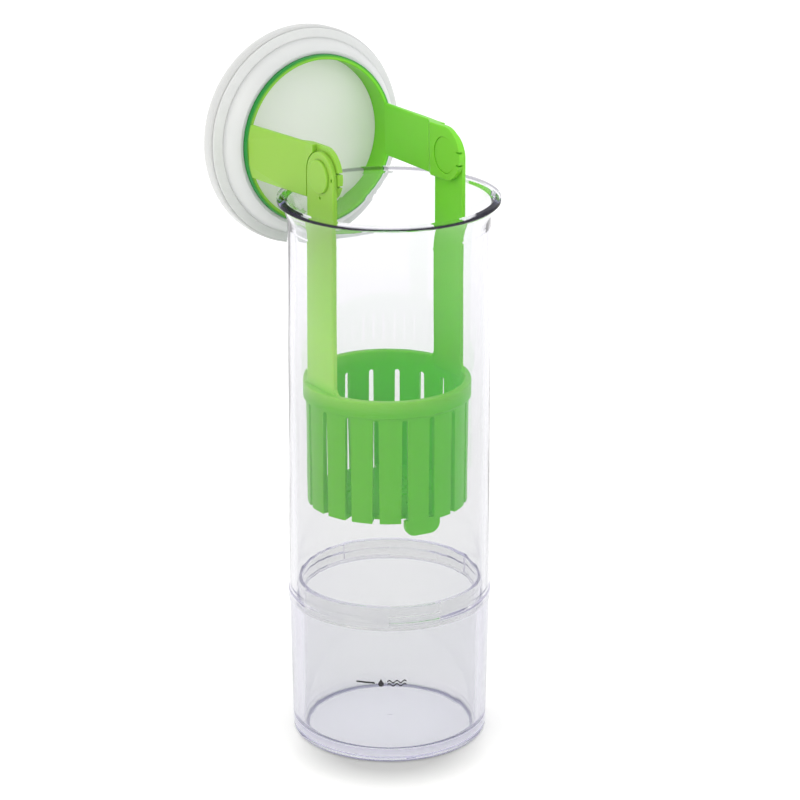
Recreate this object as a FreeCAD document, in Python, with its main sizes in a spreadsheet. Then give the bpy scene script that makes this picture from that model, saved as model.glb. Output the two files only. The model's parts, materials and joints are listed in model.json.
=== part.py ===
"""Herb keeper: a clear cup and sleeve with a green basket that lifts out by its hinged lid.

The axis of the tube is Z, with the origin under the middle of the cup. The hinge lies along X and the
lid is folded back over +Y, with the lid's arms just over the mouth of the sleeve.
"""
import FreeCAD, Part
import math
import os
from types import SimpleNamespace
import Sketcher

# Driving dimensions in millimetres, degrees or counts: name, value, what it measures.
DRIVING = [
    ("tube_foot_radius", 46.2, "outside of the cup's shoulder and of the sleeve's foot"),
    ("cup_taper", 1.2, "how much narrower the cup is at its foot than at its shoulder"),
    ("sleeve_taper", 0.7, "how much narrower the sleeve is under its mouth than at its foot"),
    ("shoulder_height", 66.2, "table to the cup's shoulder"),
    ("cup_corner", 2.6, "round at the cup's foot"),
    ("bore_draft", 0.3, "how much narrower the cup is inside at its foot than at its neck"),
    ("cup_fillet", 3.6, "round between the cup's floor and wall, inside"),
    ("floor_thickness", 4.2, "floor of the cup"),
    ("foot_rim", 7.0, "outside of the cup's foot to the middle of the groove under it"),
    ("foot_groove_width", 1.8, "width of the groove under the cup"),
    ("foot_groove_depth", 0.7, "depth of the groove under the cup"),
    ("gate_radius", 1.4, "moulding gate in the middle of the cup's floor"),
    ("gate_height", 0.35, "height of the moulding gate"),
    ("neck_wall", 2.8, "wall of the cup's neck"),
    ("neck_height", 10.2, "neck above the cup's shoulder"),
    ("neck_edge", 0.5, "round on the neck's upper edges"),
    ("track_depth", 1.1, "depth of the bayonet track in the neck"),
    ("track_low", 1.6, "shoulder to the foot of the bayonet track"),
    ("ledge_height", 5.8, "shoulder to the ledge that holds the bayonet lug down"),
    ("ledge_span", 32.0, "angle of the ledge over the locked lug"),
    ("entry_span", 88.0, "angle of the open entry of the bayonet track"),
    ("bayonet_angle", 57.0, "from +X to the closed end of the first bayonet track"),
    ("bayonet_count", 2, "bayonet lugs round the tube"),
    ("lug_play", 0.25, "play of the bayonet lug inside its track"),
    ("lug_play_angle", 0.5, "play of the bayonet lug at each end, as an angle"),
    ("neck_play", 0.3, "play between the neck and the sleeve"),
    ("sleeve_gap", 0.25, "shoulder to the foot of the sleeve"),
    ("sleeve_height", 190.25, "foot of the sleeve to its mouth"),
    ("sleeve_wall", 3.0, "wall of the sleeve"),
    ("bead_height", 3.6, "bead round the foot of the sleeve"),
    ("bead_proud", 0.5, "how far the bead stands out"),
    ("mouth_flare", 4.5, "how far the mouth flares out"),
    ("mouth_depth", 12.0, "height over which the mouth flares"),
    ("mouth_lip", 3.2, "thickness of the mouth's lip"),
    ("rim_height", 2.2, "bead round the outside of the mouth's lip"),
    ("rim_proud", 0.6, "how far that bead stands out of the flare"),
    ("mouth_edge", 0.5, "round on the mouth's lip"),
    ("arm_rest_gap", 0.85, "mouth of the sleeve to the lid's arms over it"),
    ("hang_offset", 1.8, "how far the basket hangs behind the axis of the tube"),
    ("strap_inset", 1.9, "outside of the basket's wall to the outer face of a strap"),
    ("strap_thickness", 2.0, "thickness of a strap"),
    ("strap_width", 22.0, "width of a strap, and the diameter of its head"),
    ("strap_edge", 0.5, "round on the straps' edges"),
    ("strap_gusset", 3.4, "round where a strap flows into the basket's rim"),
    ("strap_length", 98.15, "hinge axis to the basket's rim"),
    ("basket_height", 58.2, "rim of the basket to its underside"),
    ("basket_play", 4.1, "bore of the sleeve under its mouth to the band round the basket's rim"),
    ("basket_taper", 0.15, "how much narrower the basket is at its foot than at its band"),
    ("basket_wall", 2.0, "wall of the basket"),
    ("basket_floor", 2.2, "floor of the basket"),
    ("band_proud", 1.5, "how far the band round the rim stands out of the basket's wall"),
    ("band_height", 8.0, "height of the band"),
    ("band_edge", 0.7, "round on the band's edges"),
    ("slot_count", 18, "slots round the basket"),
    ("slot_turn", 19.5, "from the basket's front round to a slot"),
    ("slot_head_width", 2.5, "width of a slot at its top"),
    ("slot_foot_width", 3.3, "width of a slot at the basket's foot"),
    ("slot_start", 1.0, "band to the top of a slot"),
    ("slot_reach", 6.0, "how far a slot runs in under the floor"),
    ("drain_radius", 1.75, "drain holes in the basket's floor"),
    ("drain_inner_ring", 9.0, "radius of the inner ring of drain holes"),
    ("drain_inner_count", 6, "drain holes in the inner ring"),
    ("drain_outer_ring", 18.5, "radius of the outer ring of drain holes"),
    ("drain_outer_count", 12, "drain holes in the outer ring"),
    ("tongue_count", 2, "foot tongues under the basket"),
    ("tongue_angle", 83.3, "from +X to the middle of the first foot tongue"),
    ("tongue_width", 17.0, "width of a foot tongue"),
    ("tongue_drop", 6.6, "how far a foot tongue reaches under the basket"),
    ("tongue_thickness", 2.0, "thickness of a foot tongue"),
    ("tongue_inset", 0.9, "basket's foot to the outer face of a foot tongue"),
    ("tongue_corner", 5.0, "round at a foot tongue's lower corners"),
    ("pin_radius", 7.5, "shank of a pivot pin"),
    ("pin_play", 0.08, "running play of a pin in its strap, all round"),
    ("pin_recess", 0.35, "lug's inner face to the end of the pin's head"),
    ("pin_proud", 1.2, "how far a pin stands out of the strap"),
    ("pin_dome", 0.5, "round on the shank's and the head's edges"),
    ("pin_head_radius", 8.4, "head of a pivot pin"),
    ("pin_head_depth", 1.3, "length of the head inside the lug"),
    ("pin_fit", 0.02, "play of a pin in its lug"),
    ("detent_radius", 9.7, "hinge axis to the detent holes"),
    ("detent_hole", 0.8, "radius of a detent hole"),
    ("detent_height", 0.2, "height of the detent bump on the lug"),
    ("slit_width", 0.9, "width of the slits beside the lug's spring"),
    ("slit_pitch", 6.0, "distance between the two slits"),
    ("slit_root", 9.3, "hinge axis to the root of the slits"),
    ("lid_droop", 2.0, "angle of the folded lid below level"),
    ("arm_rise", 0.95, "hinge axis to the middle of the arms, which is the lid's axis"),
    ("arm_height", 24.7, "height of the lid's arms, and the diameter of their lugs"),
    ("arm_thickness", 2.0, "thickness of an arm just behind its lug"),
    ("arm_jog", 5.0, "length over which an arm steps out from its lug"),
    ("hinge_play", 0.25, "play between a strap and its lug"),
    ("lug_thickness", 2.2, "thickness of a lug"),
    ("head_gap", 0.4, "gap between a strap's head and the arm round it"),
    ("head_wrap", 5.6, "hinge axis to the tip of the arm over the strap's head"),
    ("arm_edge", 0.55, "round on the arms' long edges"),
    ("ring_distance", 55.7, "hinge to the near face of the yoke's ring"),
    ("ring_reach", 2.8, "how far the ring stands out of the lid"),
    ("ring_inset", 1.5, "edge of the plug's flat face to the outside of the ring"),
    ("ring_wall", 2.2, "wall of the ring"),
    ("ring_edge", 0.6, "round on the ring's near edges"),
    ("arm_crown", 0.285, "edge of a lug's outer face to the crowned face of the arms"),
    ("arm_root", 3.0, "thickness of an arm where it meets the ring"),
    ("arm_inset", 0.8, "ring's outside to the outer face of an arm where it meets the ring"),
    ("arm_bite", 1.0, "how far an arm runs into the ring"),
    ("crown_inset", 0.4, "ring's outside to the crowned face of the arms"),
    ("plug_depth", 10.4, "lid's flange to the face of its plug"),
    ("plug_slant", 4.9, "how much narrower the plug is at its flat face than at the seal"),
    ("plug_slope", 7.0, "depth over which the plug widens"),
    ("plug_bow", 24.0, "bow of the plug's widening side"),
    ("plug_play", 1.2, "bore of the mouth to the lid's plug at the seal"),
    ("plug_fit", 0.1, "play of the yoke's ring inside the plug"),
    ("cap_edge", 6.2, "thickness of the lid's flange"),
    ("plate_rise", 1.1, "flange's underside to the underside of the lid's plate"),
    ("ring_seat", 0.05, "end of the ring to the lid's plate"),
    ("flange_overhang", 0.7, "how far the lid's flange stands out over the flared mouth"),
    ("flange_edge", 1.0, "round on the flange's edges"),
    ("crown_height", 1.6, "rise of the lid's top from its edge to its middle"),
    ("dish_radius", 36.0, "dished middle of the lid's top"),
    ("dish_depth", 3.4, "depth of the dish"),
    ("seal_groove", 1.6, "depth of the seal's groove in the plug"),
    ("seal_height", 2.6, "height of the seal"),
    ("seal_seat", 0.4, "flange to the seal"),
    ("seal_reach", 4.0, "how far the seal's lip stands out of the plug"),
    ("seal_lip", 0.9, "thickness of the seal's lip"),
    ("seal_root", 0.4, "how far the seal stands out of its groove at the lip's root"),
]


class Size:
    """A value together with the spreadsheet expression that it comes from."""

    def __init__(self, text, value):
        self.text = text
        self.value = value

    def __add__(self, other):
        return combine(self, "+", other)

    def __radd__(self, other):
        return combine(other, "+", self)

    def __sub__(self, other):
        return combine(self, "-", other)

    def __rsub__(self, other):
        return combine(other, "-", self)

    def __mul__(self, other):
        return combine(self, "*", other)

    def __rmul__(self, other):
        return combine(other, "*", self)

    def __truediv__(self, other):
        return combine(self, "/", other)

    def __neg__(self):
        return combine(0, "-", self)


OPERATIONS = {
    "+": lambda left, right: left + right,
    "-": lambda left, right: left - right,
    "*": lambda left, right: left * right,
    "/": lambda left, right: left / right,
}


def as_size(number):
    """The number itself as a Size."""
    return number if isinstance(number, Size) else Size(str(number), number)


def combine(left, sign, right):
    """Left and right joined by one sign, as text and as a value."""
    left, right = as_size(left), as_size(right)
    return Size(f"({left.text} {sign} {right.text})", OPERATIONS[sign](left.value, right.value))


def root(size):
    """Square root of a size."""
    return Size(f"sqrt({size.text})", math.sqrt(size.value))


def sine(angle):
    """Sine of an angle in degrees."""
    return Size(f"sin({angle.text})", math.sin(math.radians(angle.value)))


def cosine(angle):
    """Cosine of an angle in degrees."""
    return Size(f"cos({angle.text})", math.cos(math.radians(angle.value)))


def bind(thing, place, size):
    """Tie a property of a feature to the sheet."""
    thing.setExpression(place, as_size(size).text)


def fill_sheet(document):
    """Write the driving dimensions into the sheet and return them as sizes."""
    sheet = document.addObject("Spreadsheet::Sheet", "sizes")
    found = {}
    for row, (name, value, meaning) in enumerate(DRIVING, start=1):
        sheet.set(f"A{row}", meaning)
        sheet.set(f"B{row}", str(value))
        sheet.setAlias(f"B{row}", name)
        found[name] = Size(f"sizes.{name}", value)
    document.recompute()
    return SimpleNamespace(**found)


def add_body(document, label, across=0, along=0, height=0):
    """An empty body at its place."""
    body = document.addObject("PartDesign::Body", label)
    body.Label = label
    for axis, place in (("x", across), ("y", along), ("z", height)):
        bind(body, f"Placement.Base.{axis}", place)
    return body


def origin_part(body, role):
    """One plane or axis of a body's own origin."""
    return next(part for part in body.Origin.OriginFeatures if part.Role == role)


def add_sketch(body, name, plane, lift=0, turn=None):
    """A sketch on a plane of the body's origin, turned about its upright axis and lifted along its normal."""
    sketch = body.newObject("Sketcher::SketchObject", name)
    sketch.AttachmentSupport = [(origin_part(body, plane), "")]
    sketch.MapMode = "FlatFace"
    if turn is not None:
        upright = FreeCAD.Rotation(FreeCAD.Vector(0, 1, 0), turn.value)
        sketch.AttachmentOffset = FreeCAD.Placement(FreeCAD.Vector(), upright)
        bind(sketch, "AttachmentOffset.Rotation.Angle", turn)
        bind(sketch, "AttachmentOffset.Base.x", lift * sine(turn))
        lift = lift * cosine(turn)
    bind(sketch, "AttachmentOffset.Base.z", lift)
    return sketch


def fix(sketch, name, constraint, size):
    """Add one constraint whose value comes from the sheet."""
    index = sketch.addConstraint(constraint)
    sketch.renameConstraint(index, name)
    sketch.setExpression(f"Constraints.{name}", size.text)


def arc_between(start, end, radius):
    """Arc from start to end; a positive radius turns left, a negative one right."""
    if radius < 0:
        return arc_between(end, start, -radius)
    chord = end - start
    reach = math.sqrt(max(radius ** 2 - chord.Length ** 2 / 4, 0))
    side = FreeCAD.Vector(-chord.y, chord.x, 0) / chord.Length
    centre = start + chord / 2 + side * reach
    circle = Part.Circle(centre, FreeCAD.Vector(0, 0, 1), radius)
    first = math.atan2(start.y - centre.y, start.x - centre.x)
    last = math.atan2(end.y - centre.y, end.x - centre.x)
    return Part.ArcOfCircle(circle, first, last if last > first else last + 2 * math.pi)


def outline(sketch, corners, prefix="p"):
    """Closed outline; each corner is (x, y), or (x, y, radius) where an arc leaves it."""
    corners = [tuple(as_size(part) for part in corner) for corner in corners]
    vectors = [FreeCAD.Vector(corner[0].value, corner[1].value, 0) for corner in corners]
    ends = []
    for number, corner in enumerate(corners):
        start, end = vectors[number], vectors[(number + 1) % len(corners)]
        if len(corner) == 2:
            index = sketch.addGeometry(Part.LineSegment(start, end))
            ends.append((index, 1, 2))
        else:
            index = sketch.addGeometry(arc_between(start, end, corner[2].value))
            ends.append((index, 1, 2) if corner[2].value > 0 else (index, 2, 1))
    for number, corner in enumerate(corners):
        index, first, _ = ends[number]
        before, _, last = ends[number - 1]
        sketch.addConstraint(Sketcher.Constraint("Coincident", before, last, index, first))
        across = Sketcher.Constraint("DistanceX", -1, 1, index, first, corner[0].value)
        upward = Sketcher.Constraint("DistanceY", -1, 1, index, first, corner[1].value)
        fix(sketch, f"{prefix}_across_{number}", across, corner[0])
        fix(sketch, f"{prefix}_upward_{number}", upward, corner[1])
    for number, corner in enumerate(corners):
        if len(corner) == 3:
            size = corner[2] if corner[2].value > 0 else -corner[2]
            bend = Sketcher.Constraint("Radius", ends[number][0], size.value)
            fix(sketch, f"{prefix}_radius_{number}", bend, size)


def circle(sketch, across, upward, radius, prefix="c"):
    """Full circle."""
    across, upward, radius = as_size(across), as_size(upward), as_size(radius)
    centre = FreeCAD.Vector(across.value, upward.value, 0)
    index = sketch.addGeometry(Part.Circle(centre, FreeCAD.Vector(0, 0, 1), radius.value))
    for name, kind, size in ((f"{prefix}_across", "DistanceX", across),
                             (f"{prefix}_upward", "DistanceY", upward)):
        fix(sketch, name, Sketcher.Constraint(kind, -1, 1, index, 3, size.value), size)
    fix(sketch, f"{prefix}_radius", Sketcher.Constraint("Radius", index, radius.value), radius)


def turned(body, kind, name, sketch, axis="V_Axis", angle=360):
    """Revolution or Groove of a sketch about one of its own axes."""
    feature = body.newObject(f"PartDesign::{kind}", name)
    feature.Profile = sketch
    feature.ReferenceAxis = (sketch, [axis])
    bind(feature, "Angle", angle)
    body.Tip = feature
    return feature


def pushed(body, kind, name, sketch, length=None, both=False, backwards=False):
    """Pad or Pocket of a sketch; a pocket without a length goes through all."""
    feature = body.newObject(f"PartDesign::{kind}", name)
    feature.Profile = sketch
    if length is None:
        feature.Type = "ThroughAll"
    else:
        bind(feature, "Length", length)
    feature.Midplane = both
    feature.Reversed = backwards
    body.Tip = feature
    return feature


def ring_of(body, name, features, count):
    """Polar pattern of features about the body's Z axis."""
    pattern = body.newObject("PartDesign::PolarPattern", name)
    pattern.Originals = features
    pattern.Axis = (origin_part(body, "Z_Axis"), [""])
    pattern.Angle = 360
    bind(pattern, "Occurrences", count)
    body.Tip = pattern
    return pattern


def mirrored(body, name, features):
    """Copy of features on the other side of the body's YZ plane."""
    copy = body.newObject("PartDesign::Mirrored", name)
    copy.Originals = features
    copy.MirrorPlane = (origin_part(body, "YZ_Plane"), [""])
    body.Tip = copy
    return copy


def rounded(document, body, name, radius, chosen):
    """Fillet on the edges of the tip that the test chooses."""
    document.recompute()
    base = body.Tip
    names = [f"Edge{number}" for number, edge in enumerate(base.Shape.Edges, start=1) if chosen(edge)]
    fillet = body.newObject("PartDesign::Fillet", name)
    fillet.Base = (base, names)
    bind(fillet, "Radius", radius)
    body.Tip = fillet
    return fillet


def is_circle(edge, radius, height=None, tolerance=0.01):
    """Whether an edge is an arc or circle of this radius, at this height where one is given."""
    if not isinstance(edge.Curve, Part.Circle) or abs(edge.Curve.Radius - radius) > tolerance:
        return False
    return height is None or abs(edge.Curve.Center.z - height) < tolerance


def lies_on_face(edge, face, half, rim):
    """Whether an edge bounds a strap's outer face above the basket's rim."""
    box = edge.BoundBox
    flat = min(abs(box.XMin), abs(box.XMax)) > face - 0.01 and max(abs(box.XMin), abs(box.XMax)) < face + 0.01
    return flat and box.ZMax > rim and box.YMax <= half + 0.01 and box.YMin >= -half - 0.01


def neck_radii(s):
    """Inside and outside of the cup's neck, which stands inside the sleeve's foot."""
    outside = s.tube_foot_radius - s.sleeve_wall - s.neck_play
    return outside - s.neck_wall, outside


def make_cup(document, s):
    """Clear cup: thick floor, tapered wall, and a neck with the bayonet tracks."""
    body = add_body(document, "cup")
    neck_top = s.shoulder_height + s.neck_height
    neck_bore, neck_radius = neck_radii(s)
    bore_foot = neck_bore - s.bore_draft
    foot_radius = s.tube_foot_radius - s.cup_taper
    groove_radius = foot_radius - s.foot_rim
    half_groove = s.foot_groove_width / 2
    wall = add_sketch(body, "cup_wall", "XZ_Plane")
    outline(wall, [
        (0, 0),
        (groove_radius - half_groove, 0),
        (groove_radius - half_groove, s.foot_groove_depth),
        (groove_radius + half_groove, s.foot_groove_depth),
        (groove_radius + half_groove, 0),
        (foot_radius - s.cup_corner, 0, s.cup_corner),
        (foot_radius, s.cup_corner),
        (s.tube_foot_radius, s.shoulder_height),
        (neck_radius, s.shoulder_height),
        (neck_radius, neck_top),
        (neck_bore, neck_top),
        (bore_foot, s.floor_thickness + s.cup_fillet, -s.cup_fillet),
        (bore_foot - s.cup_fillet, s.floor_thickness),
        (s.gate_radius, s.floor_thickness),
        (s.gate_radius, s.floor_thickness + s.gate_height),
        (0, s.floor_thickness + s.gate_height),
    ])
    turned(body, "Revolution", "cup_turned", wall)
    rounded(document, body, "neck_rounded", s.neck_edge,
            lambda edge: is_circle(edge, neck_radius.value, neck_top.value)
            or is_circle(edge, neck_bore.value, neck_top.value))

    track_floor = neck_radius - s.track_depth
    track_foot = s.shoulder_height + s.track_low
    beyond = neck_radius + s.track_depth
    locked = add_sketch(body, "locked_track", "XZ_Plane", turn=s.bayonet_angle)
    outline(locked, [
        (track_floor, track_foot),
        (beyond, track_foot),
        (beyond, s.shoulder_height + s.ledge_height),
        (track_floor, s.shoulder_height + s.ledge_height),
    ])
    under_ledge = turned(body, "Groove", "track_under_ledge", locked, angle=s.ledge_span + s.entry_span)
    entry = add_sketch(body, "entry_track", "XZ_Plane", turn=s.bayonet_angle + s.ledge_span)
    outline(entry, [
        (track_floor, track_foot),
        (beyond, track_foot),
        (beyond, neck_top + s.track_depth),
        (track_floor, neck_top + s.track_depth),
    ])
    open_entry = turned(body, "Groove", "track_entry", entry, angle=s.entry_span)
    ring_of(body, "bayonet_tracks", [under_ledge, open_entry], s.bayonet_count)
    return body


def flare_bend(out, rise):
    """Radius of an arc that starts upright and moves out by one size over the other's rise."""
    return (out * out + rise * rise) / (2 * out)


def derive(s):
    """Radii of the basket, the straps and the lid, which follow from the sleeve's bore and mouth."""
    s.band_radius = s.tube_foot_radius - s.sleeve_taper - s.sleeve_wall - s.basket_play
    s.basket_radius = s.band_radius - s.band_proud
    s.basket_foot_radius = s.basket_radius - s.basket_taper
    s.strap_face = s.basket_radius - s.strap_inset
    s.plug_radius = mouth_radius(s) - s.mouth_lip - s.plug_play
    s.plug_nose = s.plug_radius - s.plug_slant
    s.ring_radius = s.plug_nose - s.ring_inset
    s.flange_radius = mouth_radius(s) + s.flange_overhang
    half = s.arm_height / 2
    s.arm_waist_radius = root(s.strap_face * s.strap_face + half * half) + s.arm_crown


def mouth_radius(s):
    """Outside of the flared mouth."""
    return s.tube_foot_radius - s.sleeve_taper + s.mouth_flare


def make_sleeve(document, s):
    """Clear sleeve: bead and bayonet lugs at its foot, flared and beaded mouth at its head."""
    body = add_body(document, "sleeve", height=s.shoulder_height + s.sleeve_gap)
    head_radius = s.tube_foot_radius - s.sleeve_taper
    bore_foot = s.tube_foot_radius - s.sleeve_wall
    bore_head = head_radius - s.sleeve_wall
    neck_radius = neck_radii(s)[1]
    flare_start = s.sleeve_height - s.mouth_depth
    flare_end = s.sleeve_height - s.mouth_edge
    rim_foot = s.sleeve_height - s.rim_height
    mouth = mouth_radius(s)
    lip_bore = mouth - s.mouth_lip
    outer_bend = flare_bend(s.mouth_flare - s.rim_proud, rim_foot - flare_start)
    inner_bend = flare_bend(lip_bore - bore_head, flare_end - flare_start + s.mouth_lip / 2)
    wall = add_sketch(body, "sleeve_wall", "XZ_Plane")
    outline(wall, [
        (bore_foot, 0),
        (s.tube_foot_radius + s.bead_proud, 0),
        (s.tube_foot_radius + s.bead_proud, s.bead_height),
        (s.tube_foot_radius, s.bead_height + 2 * s.bead_proud),
        (head_radius, flare_start, -outer_bend),
        (mouth - s.rim_proud, rim_foot, s.rim_proud),
        (mouth, rim_foot + s.rim_proud),
        (mouth, flare_end, s.mouth_edge),
        (mouth - s.mouth_edge, s.sleeve_height),
        (lip_bore + s.mouth_edge, s.sleeve_height, s.mouth_edge),
        (lip_bore, flare_end, inner_bend),
        (bore_head, flare_start - s.mouth_lip / 2),
    ])
    turned(body, "Revolution", "sleeve_turned", wall)

    lug_foot = s.track_low + s.lug_play - s.sleeve_gap
    lug_top = s.ledge_height - s.lug_play - s.sleeve_gap
    into_wall = s.sleeve_wall / 2
    lug = add_sketch(body, "bayonet_lug", "XZ_Plane", turn=s.bayonet_angle + s.lug_play_angle)
    outline(lug, [
        (neck_radius - s.track_depth + s.lug_play, lug_foot),
        (bore_foot + into_wall, lug_foot),
        (bore_foot + into_wall, lug_top),
        (neck_radius - s.track_depth + s.lug_play, lug_top),
    ])
    lug_span = s.ledge_span - 2 * s.lug_play_angle
    lug_turned = turned(body, "Revolution", "bayonet_lug_turned", lug, angle=lug_span)
    ring_of(body, "bayonet_lugs", [lug_turned], s.bayonet_count)
    return body


def hinge_height(s):
    """Height of the hinge axis while the folded lid's arms rest over the back of the mouth."""
    mouth = mouth_radius(s)
    inner_face = s.strap_face - s.arm_thickness
    reach = root(mouth * mouth - inner_face * inner_face) - s.hang_offset
    seat = s.shoulder_height + s.sleeve_gap + s.sleeve_height + s.arm_rest_gap
    return seat + (s.arm_height / 2 - s.arm_rise) * cosine(s.lid_droop) + reach * sine(s.lid_droop)


def make_basket(document, s):
    """Green basket: slotted wall, drained floor, foot tongues and the two straps, in one moulding."""
    body = add_body(document, "basket", along=s.hang_offset, height=hinge_height(s))
    rim = -s.strap_length
    foot = rim - s.basket_height
    bore_foot = s.basket_foot_radius - s.basket_wall
    bore_rim = s.basket_radius - s.basket_wall
    wall = add_sketch(body, "basket_wall", "XZ_Plane")
    outline(wall, [
        (0, foot),
        (s.basket_foot_radius, foot),
        (s.basket_radius, rim - s.band_height),
        (s.band_radius, rim - s.band_height),
        (s.band_radius, rim),
        (bore_rim, rim),
        (bore_foot, foot + s.basket_floor),
        (0, foot + s.basket_floor),
    ])
    turned(body, "Revolution", "basket_turned", wall)
    rounded(document, body, "band_rounded", s.band_edge,
            lambda edge: is_circle(edge, s.band_radius.value) or is_circle(edge, bore_rim.value, rim.value))

    half = s.strap_width / 2
    inner_face = s.strap_face - s.strap_thickness
    strap = add_sketch(body, "strap_outline", "YZ_Plane", lift=inner_face)
    outline(strap, [
        (-half, rim - s.band_height / 2),
        (half, rim - s.band_height / 2),
        (half, 0, half),
        (0, half, half),
        (-half, 0),
    ])
    pad = pushed(body, "Pad", "strap", strap, s.strap_thickness)
    mirrored(body, "strap_opposite", [pad])
    rounded(document, body, "straps_rounded", s.strap_edge,
            lambda edge: lies_on_face(edge, s.strap_face.value, half.value, rim.value))
    gussets = add_sketch(body, "gusset_outline", "YZ_Plane", lift=inner_face)
    within = half - s.strap_edge
    beside = half + s.strap_gusset
    outline(gussets, [
        (within, rim - s.band_height / 2),
        (beside, rim - s.band_height / 2),
        (beside, rim, -s.strap_gusset),
        (half, rim + s.strap_gusset),
        (within, rim + s.strap_gusset),
    ], "back")
    outline(gussets, [
        (-beside, rim - s.band_height / 2),
        (-within, rim - s.band_height / 2),
        (-within, rim + s.strap_gusset),
        (-half, rim + s.strap_gusset, -s.strap_gusset),
        (-beside, rim),
    ], "front")
    flow = pushed(body, "Pad", "strap_gussets", gussets, s.strap_thickness - s.strap_edge)
    mirrored(body, "strap_gussets_opposite", [flow])

    pin_hole = add_sketch(body, "pin_hole_outline", "YZ_Plane")
    circle(pin_hole, 0, 0, s.pin_radius + s.pin_play)
    pushed(body, "Pocket", "pin_holes", pin_hole, 2 * s.strap_face, both=True)
    detents = add_sketch(body, "detent_outline", "YZ_Plane")
    front = s.detent_radius * cosine(s.lid_droop)
    circle(detents, -front, s.detent_radius * sine(s.lid_droop), s.detent_hole, "front")
    circle(detents, 0, -s.detent_radius, s.detent_hole, "foot")
    pushed(body, "Pocket", "detent_holes", detents, 2 * s.strap_face, both=True)

    slot_half = s.slot_head_width / 2
    slot_foot_half = s.slot_foot_width / 2
    slot_top = rim - s.band_height - s.slot_start - slot_half
    slot = add_sketch(body, "slot_outline", "XZ_Plane", lift=s.basket_foot_radius - s.slot_reach, turn=s.slot_turn)
    outline(slot, [
        (-slot_foot_half, foot - s.basket_floor),
        (slot_foot_half, foot - s.basket_floor),
        (slot_half, slot_top, slot_half),
        (0, slot_top + slot_half, slot_half),
        (-slot_half, slot_top),
    ])
    cut = pushed(body, "Pocket", "slot", slot, 2 * s.slot_reach, backwards=True)
    ring_of(body, "slots", [cut], s.slot_count)
    for name, distance, count in (("inner", s.drain_inner_ring, s.drain_inner_count),
                                  ("outer", s.drain_outer_ring, s.drain_outer_count)):
        drain = add_sketch(body, f"drain_{name}_outline", "XY_Plane", lift=foot - s.basket_floor)
        circle(drain, distance, 0, s.drain_radius)
        hole = pushed(body, "Pocket", f"drain_{name}", drain, 3 * s.basket_floor, backwards=True)
        ring_of(body, f"drains_{name}", [hole], count)

    tongue_half = s.tongue_width / 2
    tongue_foot = foot - s.tongue_drop
    face = s.basket_foot_radius - s.tongue_inset - s.tongue_thickness
    tongue = add_sketch(body, "tongue_outline", "YZ_Plane", lift=face, turn=s.tongue_angle)
    outline(tongue, [
        (-tongue_half, foot + s.basket_floor / 2),
        (-tongue_half, tongue_foot + s.tongue_corner, s.tongue_corner),
        (s.tongue_corner - tongue_half, tongue_foot),
        (tongue_half - s.tongue_corner, tongue_foot, s.tongue_corner),
        (tongue_half, tongue_foot + s.tongue_corner),
        (tongue_half, foot + s.basket_floor / 2),
    ])
    drop = pushed(body, "Pad", "foot_tongue", tongue, s.tongue_thickness)
    ring_of(body, "foot_tongues", [drop], s.tongue_count)
    return body


def lug_faces(s):
    """Inner and outer face of the yoke's lugs, from the middle of the basket."""
    outer = s.strap_face - s.strap_thickness - s.hinge_play
    return outer - s.lug_thickness, outer


def add_lid_body(document, label, s):
    """An empty body on the lid's axis, which passes over the hinge and droops towards the lid."""
    along = s.hang_offset + s.arm_rise * sine(s.lid_droop)
    height = hinge_height(s) + s.arm_rise * cosine(s.lid_droop)
    body = add_body(document, label, along=along, height=height)
    body.Placement.Rotation = FreeCAD.Rotation(FreeCAD.Vector(-1, 0, 0), s.lid_droop.value)
    bind(body, "Placement.Rotation.Angle", s.lid_droop)
    return body


def lid_face(s):
    """Hinge axis to the face of the lid's plug."""
    return s.ring_distance + s.ring_reach


def is_arm_edge(edge, half):
    """Whether an edge runs along an arm, on its upper or lower side."""
    box = edge.BoundBox
    level = box.ZMin > half - 0.01 or box.ZMax < 0.01 - half
    return level and box.YLength > 2


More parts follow.
